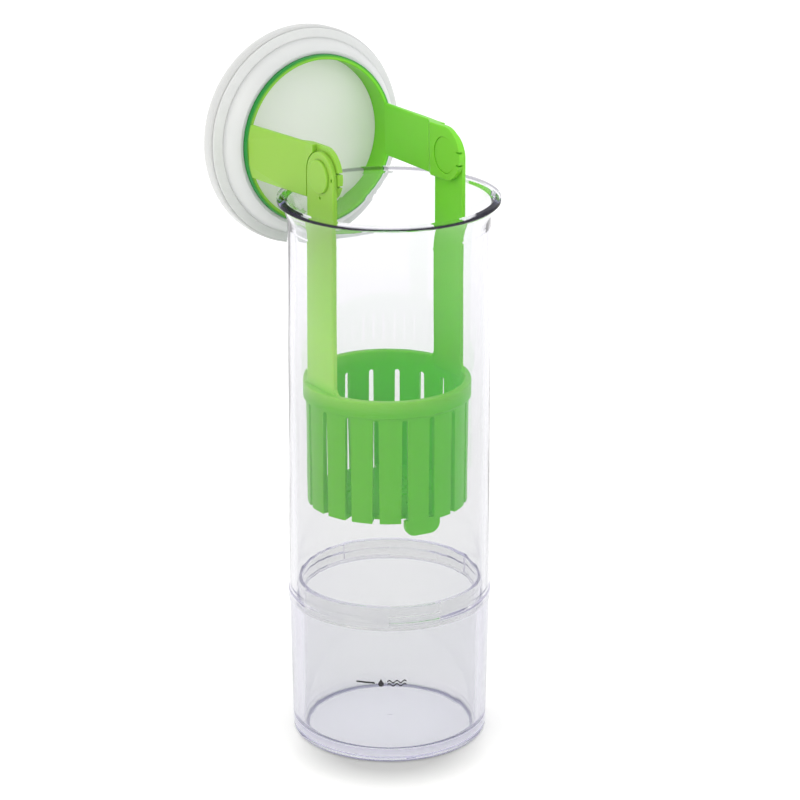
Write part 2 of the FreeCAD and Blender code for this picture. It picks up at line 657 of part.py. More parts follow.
def make_lid_yoke(document, s):
    """Green yoke: ring in the lid's plug, two crowned arms, and lugs with a spring between two slits each."""
    body = add_lid_body(document, "lid_yoke", s)
    lug_inner, lug_outer = lug_faces(s)
    ring_end = lid_face(s) + s.plug_depth - s.plate_rise - s.ring_seat
    ring_bore = s.ring_radius - s.ring_wall
    half = s.arm_height / 2
    beyond = half + s.arm_edge
    strap_half = s.strap_width / 2
    clear = strap_half + s.head_gap
    arm_end = s.ring_distance + s.arm_bite
    arm = add_sketch(body, "arm_plan", "XY_Plane")
    outline(arm, [
        (lug_inner, -half),
        (s.strap_face, -half),
        (s.strap_face, clear),
        (s.ring_radius - s.arm_inset, arm_end),
        (s.ring_radius - s.arm_inset - s.arm_root, arm_end),
        (s.strap_face - s.arm_thickness, clear + s.arm_jog),
        (lug_inner, clear),
    ])
    pad = pushed(body, "Pad", "arm", arm, s.arm_height, both=True)
    mirrored(body, "arm_opposite", [pad])

    crown = add_sketch(body, "crown_section", "YZ_Plane")
    outline(crown, [
        (-beyond, s.arm_waist_radius),
        (clear, s.arm_waist_radius),
        (arm_end, s.ring_radius - s.crown_inset),
        (arm_end, s.ring_radius + beyond),
        (-beyond, s.ring_radius + beyond),
    ])
    turned(body, "Groove", "arms_crowned", crown, axis="H_Axis")
    rounded(document, body, "arms_rounded", s.arm_edge, lambda edge: is_arm_edge(edge, half.value))
    ring = add_sketch(body, "ring_section", "YZ_Plane")
    outline(ring, [
        (s.ring_distance, ring_bore + s.ring_edge),
        (s.ring_distance, s.ring_radius - s.ring_edge, -s.ring_edge),
        (s.ring_distance + s.ring_edge, s.ring_radius),
        (ring_end, s.ring_radius),
        (ring_end, ring_bore),
        (s.ring_distance + s.ring_edge, ring_bore, -s.ring_edge),
    ])
    turned(body, "Revolution", "ring", ring, axis="H_Axis")

    lug_round = add_sketch(body, "lug_round_outline", "YZ_Plane")
    outline(lug_round, [
        (0, half, half),
        (-half, 0, half),
        (0, -half),
        (0, -beyond),
        (-beyond, -beyond),
        (-beyond, beyond),
        (0, beyond),
    ])
    pushed(body, "Pocket", "lugs_rounded", lug_round, 2 * s.strap_face, both=True)

    wrap_height = root(clear * clear - s.head_wrap * s.head_wrap)
    seat = add_sketch(body, "head_seat_outline", "YZ_Plane", lift=lug_outer)
    outline(seat, [
        (clear + beyond * sine(s.lid_droop), -beyond),
        (clear, -s.arm_rise, clear),
        (s.head_wrap, wrap_height - s.arm_rise),
        (s.head_wrap, beyond),
        (-beyond, beyond),
        (-beyond, -beyond),
    ])
    seat_cut = pushed(body, "Pocket", "head_seat", seat, s.strap_face, backwards=True)
    mirrored(body, "head_seat_opposite", [seat_cut])

    pin_hole = add_sketch(body, "pin_hole_outline", "YZ_Plane")
    circle(pin_hole, 0, -s.arm_rise, s.pin_radius + s.pin_fit)
    pushed(body, "Pocket", "pin_holes", pin_hole, 2 * s.strap_face, both=True)
    pin_head = add_sketch(body, "pin_head_outline", "YZ_Plane")
    circle(pin_head, 0, -s.arm_rise, s.pin_head_radius + s.pin_fit)
    pushed(body, "Pocket", "pin_head_seats", pin_head, 2 * (lug_inner + s.pin_head_depth), both=True)
    slits = add_sketch(body, "slit_outline", "YZ_Plane")
    for name, side in (("upper", 1), ("lower", -1)):
        near = side * (s.slit_pitch / 2 - s.slit_width / 2) - s.arm_rise
        far = side * (s.slit_pitch / 2 + s.slit_width / 2) - s.arm_rise
        outline(slits, [
            (-beyond, near),
            (-s.slit_root, near),
            (-s.slit_root, far),
            (-beyond, far),
        ], name)
    pushed(body, "Pocket", "spring_slits", slits, 2 * s.strap_face, both=True)
    bump = add_sketch(body, "detent_outline", "YZ_Plane", lift=lug_outer)
    circle(bump, -s.detent_radius, -s.arm_rise, s.detent_hole)
    bump_pad = pushed(body, "Pad", "detent", bump, s.detent_height)
    mirrored(body, "detent_opposite", [bump_pad])
    return body


def make_pin(document, s, label, turn):
    """Stepped pivot pin: head inside the lug, shank through the lug and the strap."""
    body = add_body(document, label, along=s.hang_offset, height=hinge_height(s))
    body.Placement.Rotation = FreeCAD.Rotation(FreeCAD.Vector(0, 0, 1), turn)
    lug_inner, _ = lug_faces(s)
    start = lug_inner + s.pin_recess
    end = s.strap_face + s.pin_proud
    step = lug_inner + s.pin_head_depth
    section = add_sketch(body, "pin_section", "XY_Plane")
    outline(section, [
        (start, 0),
        (end, 0),
        (end, s.pin_radius - s.pin_dome, s.pin_dome),
        (end - s.pin_dome, s.pin_radius),
        (step, s.pin_radius),
        (step, s.pin_head_radius),
        (start + s.pin_dome, s.pin_head_radius, s.pin_dome),
        (start, s.pin_head_radius - s.pin_dome),
    ])
    turned(body, "Revolution", "pin_turned", section, axis="H_Axis")
    return body


def seal_span(s):
    """Near and far side of the seal, from the hinge axis."""
    far = lid_face(s) + s.plug_depth - s.seal_seat
    return far - s.seal_height, far


def make_lid_cap(document, s):
    """Milky lid: bowed plug with a seat for the yoke's ring and a seal groove, flange and dished top."""
    body = add_lid_body(document, "lid_cap", s)
    face = lid_face(s)
    flange = face + s.plug_depth
    plate = flange - s.plate_rise
    top = flange + s.cap_edge
    near, far = seal_span(s)
    bore = s.ring_radius + s.plug_fit
    groove = s.plug_radius - s.seal_groove
    dome = s.flange_radius - s.flange_edge
    section = add_sketch(body, "cap_section", "YZ_Plane")
    outline(section, [
        (plate, 0),
        (top + s.crown_height - s.dish_depth, 0, -flare_bend(s.dish_depth, s.dish_radius)),
        (top + s.crown_height, s.dish_radius),
        (top, dome, s.flange_edge),
        (top - s.flange_edge, s.flange_radius),
        (flange + s.flange_edge, s.flange_radius, s.flange_edge),
        (flange, dome),
        (flange, s.plug_radius),
        (far, s.plug_radius),
        (far, groove),
        (near, groove),
        (near, s.plug_radius),
        (face + s.plug_slope, s.plug_radius, s.plug_bow),
        (face, s.plug_nose),
        (face, bore),
        (plate, bore),
    ])
    turned(body, "Revolution", "cap_turned", section, axis="H_Axis")
    return body


def make_lid_seal(document, s):
    """Soft seal in the groove round the lid's plug, with a lip that slopes back to the flange."""
    body = add_lid_body(document, "lid_seal", s)
    near, far = seal_span(s)
    groove = s.plug_radius - s.seal_groove
    section = add_sketch(body, "seal_section", "YZ_Plane")
    outline(section, [
        (near, groove),
        (far, groove),
        (far, s.plug_radius + s.seal_reach),
        (far - s.seal_lip, s.plug_radius + s.seal_reach),
        (near, s.plug_radius + s.seal_root),
    ])
    turned(body, "Revolution", "seal_turned", section, axis="H_Axis")
    return body


def build():
    """The whole herb keeper."""
    document = FreeCAD.newDocument("herb_keeper")
    s = fill_sheet(document)
    derive(s)
    bodies = [
        make_cup(document, s),
        make_sleeve(document, s),
        make_basket(document, s),
        make_lid_yoke(document, s),
        make_pin(document, s, "pivot_pin_right", 0),
        make_pin(document, s, "pivot_pin_left", 180),
        make_lid_cap(document, s),
        make_lid_seal(document, s),
    ]
    document.recompute()
    for thing in document.Objects:
        if "Invalid" in thing.State or "Error" in thing.State:
            raise RuntimeError(f"{thing.Name} failed: {thing.State}")
    os.makedirs("parts", exist_ok=True)
    for body in bodies:
        shape = body.Shape
        if shape.isNull() or not shape.isValid():
            raise RuntimeError(f"{body.Label} has no valid shape")
        print(body.Label, len(shape.Solids), round(shape.Volume / 1000, 2), "cm3", shape.BoundBox)
        shape.exportStep(f"parts/{body.Label}.step")


build()
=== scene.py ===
"""Finishes, fill mark and studio for the herb keeper, laid out as an add-on and run as a script."""

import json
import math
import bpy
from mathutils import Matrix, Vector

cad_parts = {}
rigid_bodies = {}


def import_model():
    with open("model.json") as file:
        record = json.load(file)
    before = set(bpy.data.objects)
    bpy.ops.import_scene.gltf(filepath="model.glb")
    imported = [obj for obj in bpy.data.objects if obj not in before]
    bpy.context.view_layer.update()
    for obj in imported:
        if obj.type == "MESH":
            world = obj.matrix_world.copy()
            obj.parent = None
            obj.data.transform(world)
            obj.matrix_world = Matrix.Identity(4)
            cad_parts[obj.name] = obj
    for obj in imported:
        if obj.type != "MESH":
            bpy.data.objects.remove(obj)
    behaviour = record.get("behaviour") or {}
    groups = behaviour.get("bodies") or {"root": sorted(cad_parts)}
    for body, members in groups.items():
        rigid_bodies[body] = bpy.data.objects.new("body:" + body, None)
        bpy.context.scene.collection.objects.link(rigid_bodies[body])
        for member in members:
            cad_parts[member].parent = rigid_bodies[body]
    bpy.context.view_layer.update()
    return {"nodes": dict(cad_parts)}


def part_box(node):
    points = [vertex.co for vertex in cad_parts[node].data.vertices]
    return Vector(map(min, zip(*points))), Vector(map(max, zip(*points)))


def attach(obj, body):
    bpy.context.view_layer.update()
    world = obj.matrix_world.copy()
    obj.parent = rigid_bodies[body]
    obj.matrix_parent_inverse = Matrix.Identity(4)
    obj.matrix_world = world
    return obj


bl_info = {
    "name": "Herb keeper",
    "version": (1, 0, 0),
    "blender": (4, 5, 0),
    "location": "View3D > Sidebar > Herb keeper",
    "description": "Dresses the parts, prints the fill mark and sets up the studio",
    "category": "Object",
}

import bpy
from bpy.props import FloatProperty, FloatVectorProperty, IntProperty, PointerProperty
from mathutils import Matrix, Vector

for stray in list(bpy.data.objects):
    bpy.data.objects.remove(stray)
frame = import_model()
NODES = frame["nodes"]

# Places in the frame, in metres. The folded lid's axis starts by the hinge: it passes LID_RISE over
# the hinge and leans LID_DROOP off level.
TABLE = 0.0
CUP_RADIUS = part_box("cup")[1].x
TUBE_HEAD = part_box("sleeve")[1].z
MOUTH_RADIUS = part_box("sleeve")[1].x
HALF_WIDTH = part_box("lid_yoke")[1].x
BOWL_RIM = 0.17204
HINGE = Vector((0.0, 0.0018, 0.270191))
LID_DROOP = math.radians(2.0)
LID_RISE = 0.00095

# Where one tone starts and ends its change into another, in metres: heights over the table for the
# painted light below the sleeve's mouth and in the bowl, depth along the lid's axis for RING_DEPTH,
# and for the others radii round an axis. FOOT is counted from the foot's radius, and HEEL is only a
# width.
# Painted light: the basket's green is painted brighter below the sleeve's mouth and in the bowl
SLEEVE_LIGHT_CHANGE = (TUBE_HEAD, TUBE_HEAD - 0.06)
BOWL_CHANGE = (BOWL_RIM + 0.004, BOWL_RIM - 0.006)
LIP_CHANGE = (MOUTH_RADIUS - 0.002, MOUTH_RADIUS - 0.0016)
# RING_DEPTH and RING_SIDE place the painted shade on the side of the yoke's ring
RING_DEPTH_CHANGE = (0.0550, 0.0560)
RING_SIDE_CHANGE = (0.0379, 0.0387)
FLANGE_CHANGE = (0.0462, 0.0492)
# PLATE_CHANGE places the lid's painted light in the thin plate
PLATE_CHANGE = (0.0385, 0.0365)
# FOOT and HEEL place the floor's glow and painted ring under the cup
FOOT_CHANGE = (0.0002, -0.0003)
HEEL_CHANGE = 0.0014

# Which of a point's X, Y and Z count towards its distance from an upright axis and the lid's axis
FROM_UPRIGHT = (1.0, 1.0, 0.0)
FROM_LID_AXIS = (1.0, 0.0, 1.0)

# Plastics: refractive indices, the share of light that passes, how strongly the noises count and
# how bright the cloudy, dusty and speckled spots are
WHITE = (1.0, 1.0, 1.0)
LIP_BENDING = 1.03
HARD_PLASTIC_BENDING = 1.49
SILICONE_BENDING = 1.41
LIP_COAT = 0.25
PASSING = 0.985
# HAZE blurs the edge of the clear wall's painted shade
HAZE = 0.06
SCUFFING = 0.03
CLOUDING = 0.06
# Painted light: how far noise moves the turn from the lit left green to the shaded right green
PAINTED_LIGHT_NOISE = 0.2
CLOUD_SHADE = 0.6
DUST_SHADE = 0.96
SPECK_SHADE = 0.995

# Fill mark: shares of the cup's radius, of the line's width and of the drop's radius, and counts
CLEAR_OF_CUP = 1.2
LINE_COLUMNS = 12
WAVE_COLUMNS = 50
WAVE_TURNS = 2.5
WAVE_STROKE = 0.8
DROP_SIDES = 40
DROP_INSET = 0.4
DROP_SHOULDER = 0.2
DROP_TAPER = 0.75
DROP_STRETCH = 0.9
SAME_ROW = 2e-6

# Studio, in metres, with the camera's sensor in millimetres
FLOOR_RADIUS = 9.0
FLOOR_SIDES = 96
KEY_PLACE = (-1.5, -0.5, 1.3)
KEY_SIZE = 1.1
FILL_PLACE = (1.4, -0.7, 1.0)
FILL_SIZE = 0.9
LAMP_AIM = Vector((0, 0, 0.15))
SENSOR_WIDTH = 36.0


# Finishes

class Wire:
    """A shader socket that can stand in a sum."""

    def __init__(self, finish, socket):
        self.finish = finish
        self.socket = socket

    def __add__(self, other):
        return self.finish.sum("ADD", self, other)

    __radd__ = __add__

    def __mul__(self, other):
        return self.finish.sum("MULTIPLY", self, other)

    __rmul__ = __mul__

    def __sub__(self, other):
        return self.finish.sum("SUBTRACT", self, other)

    def __rsub__(self, other):
        return self.finish.sum("SUBTRACT", other, self)


class Finish:
    """A node tree and short ways to add to it."""

    def __init__(self, tree):
        self.tree = tree
        self.tree.nodes.clear()

    def node(self, kind, settings=None, sockets=None, out=0):
        """Add a node, set it up, fill its sockets and return one of its outputs."""
        node = self.tree.nodes.new(kind)
        for name, value in (settings or {}).items():
            if name == "stops":
                self.stops(node.color_ramp, value)
            else:
                setattr(node, name, value)
        for name, value in (sockets or {}).items():
            if isinstance(value, Wire):
                self.tree.links.new(value.socket, node.inputs[name])
            else:
                node.inputs[name].default_value = value
        return Wire(self, node.outputs[out]) if len(node.outputs) else node

    def stops(self, ramp, stops):
        """Give a colour ramp its stops: place and colour."""
        while len(ramp.elements) < len(stops):
            ramp.elements.new(1.0)
        for element, (place, tone) in zip(ramp.elements, stops):
            element.position = place
            element.color = tone

    def sum(self, operation, first, second):
        """One Math node."""
        return self.node("ShaderNodeMath", {"operation": operation}, {0: first, 1: second})

    def blend(self, factor, first, second):
        """One colour turning into another."""
        sockets = {0: factor, 6: first, 7: second}
        return self.node("ShaderNodeMix", {"data_type": "RGBA"}, sockets, out=2)

    def place(self, scale=(1.0, 1.0, 1.0)):
        """The piece's own coordinates, stretched."""
        own = self.node("ShaderNodeTexCoord", out="Object")
        return self.node("ShaderNodeMapping", sockets={"Vector": own, "Scale": scale})

    def along(self, axis, start, end):
        """How far a point lies from start to end along one axis of the piece, from 0 to 1."""
        place = self.node("ShaderNodeSeparateXYZ", sockets={"Vector": self.place()}, out=axis)
        return self.span(place, start, end)

    def in_lid(self):
        """Depth of a point along the lid's axis from the hinge, and its distance from that axis."""
        turn = Matrix.Rotation(LID_DROOP, 3, "X")
        shift = -(turn @ HINGE) - Vector((0.0, 0.0, LID_RISE))
        own = self.node("ShaderNodeTexCoord", out="Object")
        place = self.node("ShaderNodeMapping", sockets={
            "Vector": own, "Rotation": (LID_DROOP, 0.0, 0.0), "Location": shift})
        depth = self.node("ShaderNodeSeparateXYZ", sockets={"Vector": place}, out="Y")
        return depth, self.reach(place, FROM_LID_AXIS)

    def reach(self, place, axis):
        """Distance of a point from an axis, given as which of X, Y and Z count."""
        flat = self.node("ShaderNodeVectorMath", {"operation": "MULTIPLY"}, {0: place, 1: axis})
        return self.node("ShaderNodeVectorMath", {"operation": "LENGTH"}, {0: flat}, out="Value")

    def span(self, value, start, end):
        """How far a value lies from start to end, from 0 to 1."""
        sockets = {"Value": value, "From Min": start, "From Max": end}
        return self.node("ShaderNodeMapRange", sockets=sockets)

    def noise(self, size, detail=3.0, roughness=0.5, scale=(1.0, 1.0, 1.0)):
        """Noise whose lumps are about as wide as size, in metres."""
        return self.node("ShaderNodeTexNoise", sockets={
            "Vector": self.place(scale),
            "Scale": 1.0 / size,
            "Detail": detail,
            "Roughness": roughness,
        })

    def ramp(self, factor, *stops):
        """Grey ramp from place and grey pairs."""
        stops = [(place, (grey, grey, grey, 1.0)) for place, grey in stops]
        return self.node("ShaderNodeValToRGB", {"stops": stops}, {"Fac": factor})

    def bump(self, height, depth):
        """Relief of a height from 0 to 1, depth metres deep."""
        sockets = {"Height": height, "Strength": 1.0, "Distance": depth}
        return self.node("ShaderNodeBump", sockets=sockets)


def new_finish(name):
    """An empty material and its nodes."""
    material = bpy.data.materials.new(name)
    material.use_nodes = True
    return material, Finish(material.node_tree)


def colour(value):
    """A colour property as four numbers."""
    return (value[0], value[1], value[2], 1.0)


def shade(value, factor):
    """A colour, darker or lighter."""
    return tuple(min(part * factor, 1.0) for part in value[:3]) + (1.0,)


def clear_wall(finish, looks):
    """Polished wall with faint flow lines, fine scuffs and painted shade: a tint that deepens
    towards the foot.
    """
    flow = finish.noise(size=0.022, detail=2.0, scale=(1.0, 1.0, 0.18))
    scuffs = finish.noise(size=0.0016, detail=4.0, roughness=0.7, scale=(1.0, 1.0, 0.35))
    haze = finish.noise(size=0.03, detail=2.0)
    height = finish.along("Z", TABLE, TUBE_HEAD) + HAZE * (haze - 0.5)
    upper = finish.ramp(height, (0.6, 0.0), (0.92, 1.0))
    return finish.node("ShaderNodeBsdfPrincipled", sockets={
        "Base Color": finish.blend(upper, colour(looks.painted_shade_tint), colour(looks.tint)),
        "Roughness": looks.roughness + SCUFFING * finish.ramp(scuffs, (0.62, 0.0), (0.8, 1.0)),
        "IOR": looks.bending,
        "Transmission Weight": 1.0,
        "Normal": finish.bump(flow, looks.flow_depth),
    })


def clear_lip(finish, looks):
    """Lip of the mouth: it hardly bends light and has a dark line of painted shade round its
    outside.
    """
    full = looks.line_width / 2
    below = finish.along("Z", looks.lip_line - looks.line_width, looks.lip_line - full)
    above = finish.along("Z", looks.lip_line + looks.line_width, looks.lip_line + full)
    outside = finish.span(finish.reach(finish.place(), FROM_UPRIGHT), *LIP_CHANGE)
    # Where the painted dark line lies
    line = below * above * outside
    return finish.node("ShaderNodeBsdfPrincipled", sockets={
        "Base Color": finish.blend(line, colour(looks.tint), colour(looks.painted_line_tint)),
        "Roughness": looks.roughness,
        "IOR": LIP_BENDING,
        "Transmission Weight": 1.0,
        "Coat Weight": LIP_COAT,
        "Coat Roughness": 0.03,
    })


def clear_plastic(looks):
    """Clear moulding: wall and lip, with a tint that deepens in thick walls.

    Light of the lamps goes straight through, and so does light that has bent too often.
    """
    material, finish = new_finish("clear plastic")
    lip = finish.along("Z", looks.lip_foot, looks.lip_foot + looks.lip_soft)
    skin = finish.node("ShaderNodeMixShader", sockets={
        0: lip, 1: clear_wall(finish, looks), 2: clear_lip(finish, looks)})
    lamps = finish.node("ShaderNodeLightPath", out="Is Shadow Ray")
    bounces = finish.node("ShaderNodeLightPath", out="Ray Depth")
    lost = finish.sum("GREATER_THAN", bounces, looks.bounces)
    passing = finish.node("ShaderNodeBsdfTransparent", sockets={"Color": shade(WHITE, PASSING)})
    surface = finish.node("ShaderNodeMixShader", sockets={
        0: finish.sum("MAXIMUM", lamps, lost), 1: skin, 2: passing})
    depth = finish.node("ShaderNodeVolumeAbsorption", sockets={
        "Color": colour(looks.depth_tint), "Density": looks.density})
    finish.node("ShaderNodeOutputMaterial", sockets={"Surface": surface, "Volume": depth})
    return material


def green_lit_from_left(finish, left, right):
    """Painted light: green that turns from lit lime at the left strap to a shaded, fuller green at
    the right one.
    """
    cloud = finish.noise(size=0.035, detail=2.0)
    painted_light = finish.along("X", -HALF_WIDTH, HALF_WIDTH) + PAINTED_LIGHT_NOISE * (cloud - 0.5)
    return finish.blend(finish.ramp(painted_light, (0.0, 0.0), (1.0, 1.0)), colour(left), colour(right))


def green_skin(finish, looks, body):
    """Satin skin of the green plastic, with some light passing under it."""
    grain = finish.noise(size=0.00045, detail=3.0, roughness=0.65)
    flow = finish.noise(size=0.009, detail=3.0, scale=(1.0, 1.0, 0.3))
    pits = finish.ramp(grain, (0.45, 0.0), (0.7, 1.0))
    skin = finish.node("ShaderNodeBsdfPrincipled", sockets={
        "Base Color": body,
        "Roughness": looks.roughness + 0.10 * (flow - 0.5) + 0.05 * pits,
        "IOR": HARD_PLASTIC_BENDING,
        "Specular IOR Level": 0.3,
        "Subsurface Weight": looks.glow,
        "Subsurface Radius": (0.5, 1.0, 0.12),
        "Subsurface Scale": 0.004,
        "Normal": finish.bump(grain, depth=0.00001),
    })
    finish.node("ShaderNodeOutputMaterial", sockets={"Surface": skin})


def yoke_plastic(looks):
    """Green of the yoke and the pins, with painted shade: a deeper green round the side of the ring
    in the lid.
    """
    material, finish = new_finish("green yoke")
    depth, radius = finish.in_lid()
    # Painted shade where the ring sits in the lid
    ring_shade_mask = finish.span(depth, *RING_DEPTH_CHANGE) * finish.span(radius, *RING_SIDE_CHANGE)
    body = finish.blend(ring_shade_mask, green_lit_from_left(finish, looks.lime, looks.green), colour(looks.ring_shade))
    green_skin(finish, looks, body)
    return material


def basket_plastic(looks):
    """Green of the basket and straps, with painted light: brighter below the sleeve's mouth and
    brightest and fullest in the bowl.
    """
    material, finish = new_finish("green basket")
    inside = finish.along("Z", *SLEEVE_LIGHT_CHANGE)
    bowl = finish.along("Z", *BOWL_CHANGE)
    # upper is the plain green; lower is painted brighter inside the sleeve, and full brighter still
    # in the bowl
    upper = green_lit_from_left(finish, looks.lime, looks.green)
    lower = green_lit_from_left(finish, looks.sleeve_lit_lime, looks.sleeve_lit_green)
    full = green_lit_from_left(finish, looks.bowl_lit_lime, looks.bowl_lit_green)
    green_skin(finish, looks, finish.blend(bowl, finish.blend(inside, upper, lower), full))
    return material


def milky_plastic(looks):
    """Milky satin lid, cloudy inside, greyer at the flange and with painted light that makes the
    thin plate paler.
    """
    material, finish = new_finish("milky plastic")
    cloud = finish.noise(size=0.025, detail=4.0)
    grain = finish.noise(size=0.0006, detail=3.0, roughness=0.6)
    _, radius = finish.in_lid()
    flange = finish.span(radius, *FLANGE_CHANGE)
    # Painted light in the thin plate
    plate = finish.span(radius, *PLATE_CHANGE)
    outer = finish.blend(flange, colour(looks.milky), colour(looks.rim))
    tone = finish.blend(plate, outer, colour(looks.plate))
    body = finish.blend(CLOUDING * cloud, tone, shade(looks.milky, CLOUD_SHADE))
    skin = finish.node("ShaderNodeBsdfPrincipled", sockets={
        "Base Color": body,
        "Roughness": 0.30 + 0.12 * finish.ramp(grain, (0.4, 0.0), (0.75, 1.0)),
        "IOR": HARD_PLASTIC_BENDING,
        "Subsurface Weight": looks.glow,
        "Subsurface Radius": (1.0, 1.0, 0.9),
        "Subsurface Scale": 0.02,
        "Normal": finish.bump(grain, depth=0.000012),
    })
    finish.node("ShaderNodeOutputMaterial", sockets={"Surface": skin})
    return material


def seal_rubber(looks):
    """Soft silicone with a dull, slightly dusty skin."""
    material, finish = new_finish("seal rubber")
    dust = finish.noise(size=0.004, detail=5.0, roughness=0.7)
    grain = finish.noise(size=0.0005, detail=2.0)
    clean = finish.ramp(dust, (0.4, 0.0), (0.7, 1.0))
    skin = finish.node("ShaderNodeBsdfPrincipled", sockets={
        "Base Color": finish.blend(clean, shade(looks.seal, DUST_SHADE), colour(looks.seal)),
        "Roughness": 0.46 + 0.18 * dust,
        "IOR": SILICONE_BENDING,
        "Subsurface Weight": looks.glow,
        "Subsurface Radius": (1.0, 1.0, 0.95),
        "Subsurface Scale": 0.004,
        "Normal": finish.bump(grain, depth=0.000015),
    })
    finish.node("ShaderNodeOutputMaterial", sockets={"Surface": skin})
    return material


def mark_ink(looks):
    """Printed ink with a few thin spots."""
    material, finish = new_finish("mark ink")
    spots = finish.noise(size=0.0005, detail=3.0, roughness=0.7)
    thin = finish.ramp(spots, (0.6, 0.0), (0.8, 1.0))
    skin = finish.node("ShaderNodeBsdfPrincipled", sockets={
        "Base Color": finish.blend(thin, colour(looks.ink), colour(looks.thin)),
        "Roughness": 0.42 + 0.2 * spots,
        "Normal": finish.bump(spots, depth=0.000005),
    })
    finish.node("ShaderNodeOutputMaterial", sockets={"Surface": skin})
    return material


def dress(material, *names):
    """Give CAD nodes their finish."""
    for name in names:
        for place in NODES[name].material_slots:
            place.material = material


# Settings

class ClearLooks(bpy.types.PropertyGroup):
    """Cup and sleeve."""
    tint: FloatVectorProperty(
        name="Tint", description="Colour of the clear plastic's surface",
        subtype="COLOR", size=3, min=0, max=1, default=(0.965, 0.967, 0.965))
    # Painted shade: the clear plastic's colour darkens towards the foot
    painted_shade_tint: FloatVectorProperty(
        name="Foot tint", description="Colour of the clear plastic towards the foot",
        subtype="COLOR", size=3, min=0, max=1, default=(0.862, 0.866, 0.856))
    depth_tint: FloatVectorProperty(
        name="Depth tint", description="Colour that thick plastic takes on",
        subtype="COLOR", size=3, min=0, max=1, default=(0.47, 0.44, 0.66))
    density: FloatProperty(
        name="Density", description="How fast the tint deepens, per metre",
        min=0, max=200, default=30.0)
    # Painted shade: the dark line round the outside of the mouth's lip
    painted_line_tint: FloatVectorProperty(
        name="Lip line", description="Colour of the line round the mouth's lip",
        subtype="COLOR", size=3, min=0, max=1, default=(0.28, 0.275, 0.32))
    lip_line: FloatProperty(
        name="Lip line height", description="Height of that line over the table",
        unit="LENGTH", min=0, max=1, default=0.2554)
    line_width: FloatProperty(
        name="Lip line width", description="Half the height of that line",
        unit="LENGTH", min=0, max=0.01, default=0.0009)
    lip_foot: FloatProperty(
        name="Lip foot", description="Height of the foot of the mouth's lip over the table",
        unit="LENGTH", min=0, max=1, default=0.2541)
    lip_soft: FloatProperty(
        name="Lip softness", description="Height over which the wall turns into the lip",
        unit="LENGTH", min=0, max=0.01, default=0.0003)
    bounces: IntProperty(
        name="Bounces", description="Bends in the walls after which light goes straight on",
        min=0, max=100, default=5)
    bending: FloatProperty(
        name="Bending", description="Refractive index",
        min=1, max=2, default=1.42)
    roughness: FloatProperty(
        name="Roughness", description="Blur of the polished walls",
        subtype="FACTOR", min=0, max=1, default=0.01)
    flow_depth: FloatProperty(
        name="Flow depth", description="Depth of the flow lines from moulding",
        unit="LENGTH", min=0, max=0.01, default=0.0003)


class GreenLooks(bpy.types.PropertyGroup):
    """Basket, yoke and pins."""
    # Painted shade: the dark green on the side of the ring where it sits in the lid
    ring_shade: FloatVectorProperty(
        name="Deep", description="Colour of the side of the yoke's ring",
        subtype="COLOR", size=3, min=0, max=1, default=(0.005, 0.24, 0.03))
    # Painted light: the bowl and the straps inside the sleeve are painted brighter than the green
    # outside
    bowl_lit_lime: FloatVectorProperty(
        name="Bowl lime", description="Colour of the basket's bowl at its left side",
        subtype="COLOR", size=3, min=0, max=1, default=(0.16, 0.68, 0.02))
    bowl_lit_green: FloatVectorProperty(
        name="Bowl green", description="Colour of the basket's bowl at its right side",
        subtype="COLOR", size=3, min=0, max=1, default=(0.11, 0.83, 0.008))
    sleeve_lit_lime: FloatVectorProperty(
        name="Fresh lime", description="Colour of the left strap inside the sleeve",
        subtype="COLOR", size=3, min=0, max=1, default=(0.48, 0.95, 0.15))
    sleeve_lit_green: FloatVectorProperty(
        name="Fresh green", description="Colour of the right strap inside the sleeve",
        subtype="COLOR", size=3, min=0, max=1, default=(0.15, 0.72, 0.005))
    # Painted light: the left colour is the lit side, the right colour the shaded side
    lime: FloatVectorProperty(
        name="Lime", description="Colour of the green plastic at the left strap",
        subtype="COLOR", size=3, min=0, max=1, default=(0.27, 0.51, 0.055))
    green: FloatVectorProperty(
        name="Green", description="Colour of the green plastic at the right strap",
        subtype="COLOR", size=3, min=0, max=1, default=(0.20, 0.68, 0.035))
    roughness: FloatProperty(
        name="Roughness", description="Dullness of the green plastic",
        subtype="FACTOR", min=0, max=1, default=0.36)
    glow: FloatProperty(
        name="Glow", description="Share of light that passes under the skin",
        subtype="FACTOR", min=0, max=1, default=0.35)


class LidLooks(bpy.types.PropertyGroup):
    """Lid and its seal."""
    milky: FloatVectorProperty(
        name="Milky", description="Colour of the lid",
        subtype="COLOR", size=3, min=0, max=1, default=(0.73, 0.75, 0.74))
    # Painted light: the thin plate inside the ring is painted paler
    plate: FloatVectorProperty(
        name="Plate", description="Colour of the thin plate inside the ring",
        subtype="COLOR", size=3, min=0, max=1, default=(0.88, 0.87, 0.88))
    rim: FloatVectorProperty(
        name="Rim", description="Colour of the lid's flange",
        subtype="COLOR", size=3, min=0, max=1, default=(0.58, 0.59, 0.59))
    seal: FloatVectorProperty(
        name="Seal", description="Colour of the seal",
        subtype="COLOR", size=3, min=0, max=1, default=(0.70, 0.715, 0.71))
    glow: FloatProperty(
        name="Glow", description="Share of light that passes under the skin",
        subtype="FACTOR", min=0, max=1, default=0.4)


